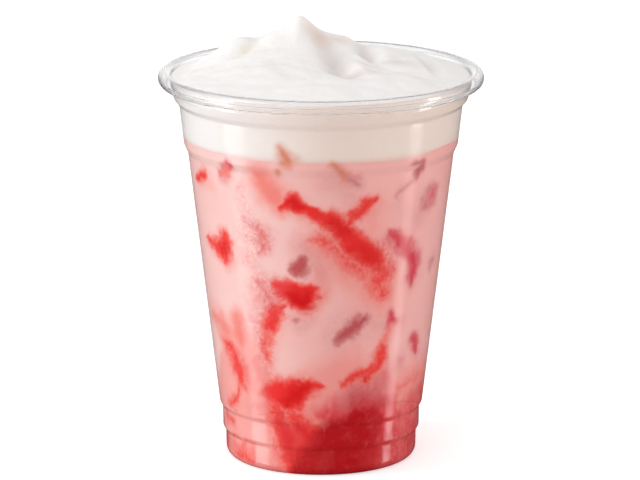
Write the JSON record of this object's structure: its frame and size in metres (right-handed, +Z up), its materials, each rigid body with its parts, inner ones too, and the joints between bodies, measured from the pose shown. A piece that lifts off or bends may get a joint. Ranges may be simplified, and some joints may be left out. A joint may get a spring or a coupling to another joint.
{
  "type": "iced strawberry latte in a clear cup",
  "caption": "Clear tapered takeaway cup with rolled rim, stacking shoulder and foot ribs, filled with strawberry puree, marbled strawberry milk and a peaked heap of milk foam.",
  "frame": {"origin": "centre of the ring that the cup stands on, on the surface under it", "axes": "+Z up along the cup's axis; -Y is the cup's shown side, with the foam's peak left of the middle and +X to the right"},
  "size_m": [0.098, 0.098, 0.1348],
  "materials": {
    "clear_plastic": "clear, glossy formed plastic",
    "strawberry_puree": "wet, lumpy crushed strawberry",
    "strawberry_milk": "opaque pink milk with darker red streaks and ice at the wall",
    "milk_foam": "soft, matt white foam with fine bubbles"
  },
  "bodies": {
    "root": {"cup": "clear_plastic", "strawberry_puree": "strawberry_puree", "strawberry_milk": "strawberry_milk", "milk_foam": "milk_foam"}
  },
  "joints": []
}
